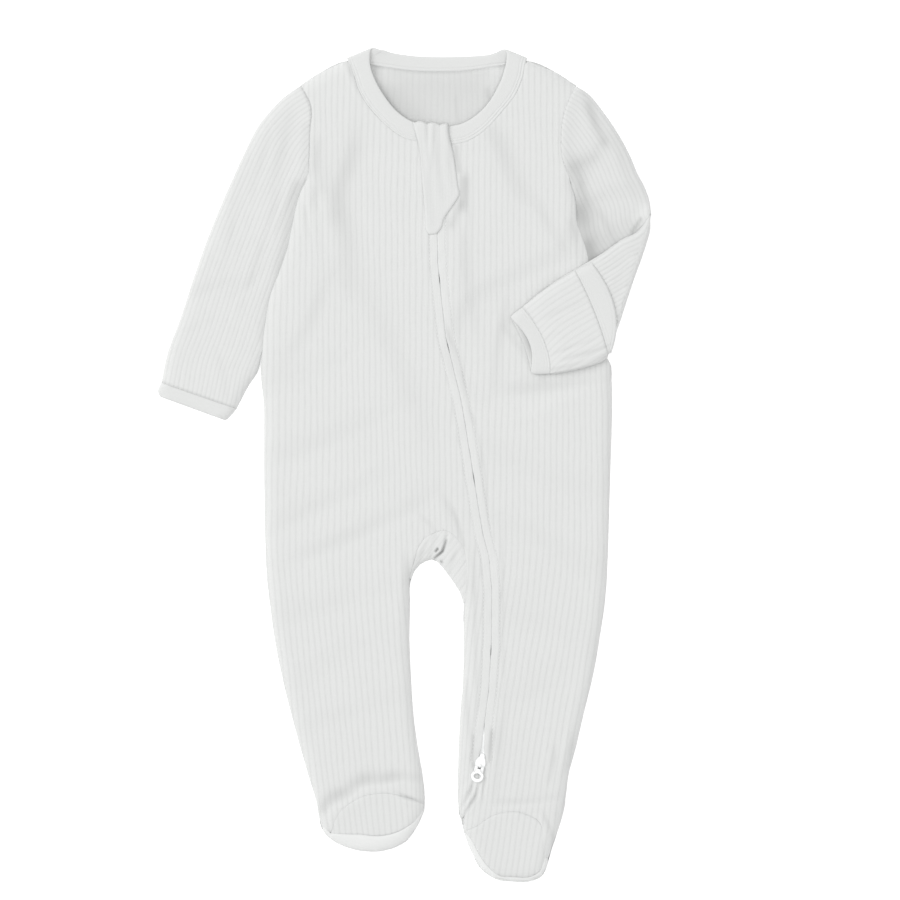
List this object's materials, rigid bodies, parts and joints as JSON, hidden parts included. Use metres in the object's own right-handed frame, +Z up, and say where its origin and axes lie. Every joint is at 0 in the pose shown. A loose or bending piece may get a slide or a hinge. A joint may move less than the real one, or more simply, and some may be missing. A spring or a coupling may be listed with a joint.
{
  "type": "footed baby sleepsuit",
  "caption": "Long-sleeved footed sleepsuit in ribbed knit, laid flat, with a slanting zip from neck to ankle, a guard at the neck, a sleeve folded over the chest and a fold-over mitt.",
  "frame": {"origin": "centre of the outline, on the surface that the garment lies on", "axes": "+Y towards the neck, +X to the right as seen from above, which is the wearer's left, +Z up through the front"},
  "size_m": [0.3308, 0.5579, 0.0101],
  "materials": {
    "ribbed_knit": "matt ribbed cotton knit, off-white",
    "smooth_knit": "matt plain cotton knit, off-white",
    "zip_tape": "woven polyester tape and coil, white",
    "zip_metal": "white enamel, satin"
  },
  "bodies": {
    "garment": {"back_panel": "ribbed_knit", "front_panel_left": "ribbed_knit", "front_panel_right": "ribbed_knit", "crotch_gusset": "ribbed_knit", "sleeve_left": "ribbed_knit", "cuff_binding_left": "smooth_knit", "sleeve_right": "ribbed_knit", "cuff_binding_right": "smooth_knit", "mitt_right": "ribbed_knit", "mitt_binding_right": "smooth_knit", "neck_binding": "smooth_knit", "zip_guard": "smooth_knit", "instep_left": "ribbed_knit", "sole_left": "smooth_knit", "instep_right": "ribbed_knit", "sole_right": "smooth_knit", "zip_tape_left": "zip_tape", "zip_tape_right": "zip_tape", "zip_chain": "zip_tape", "zip_slider": "zip_metal"},
    "pull_tab": {"zip_pull": "zip_metal"}
  },
  "joints": [
    {"name": "pull_hinge", "type": "hinge", "parent": "garment", "child": "pull_tab", "pos_m": [0.0497, -0.2019, 0.0068], "axis": [-0.9703, 0.2419, 0], "range_deg": [0, 140]}
  ]
}
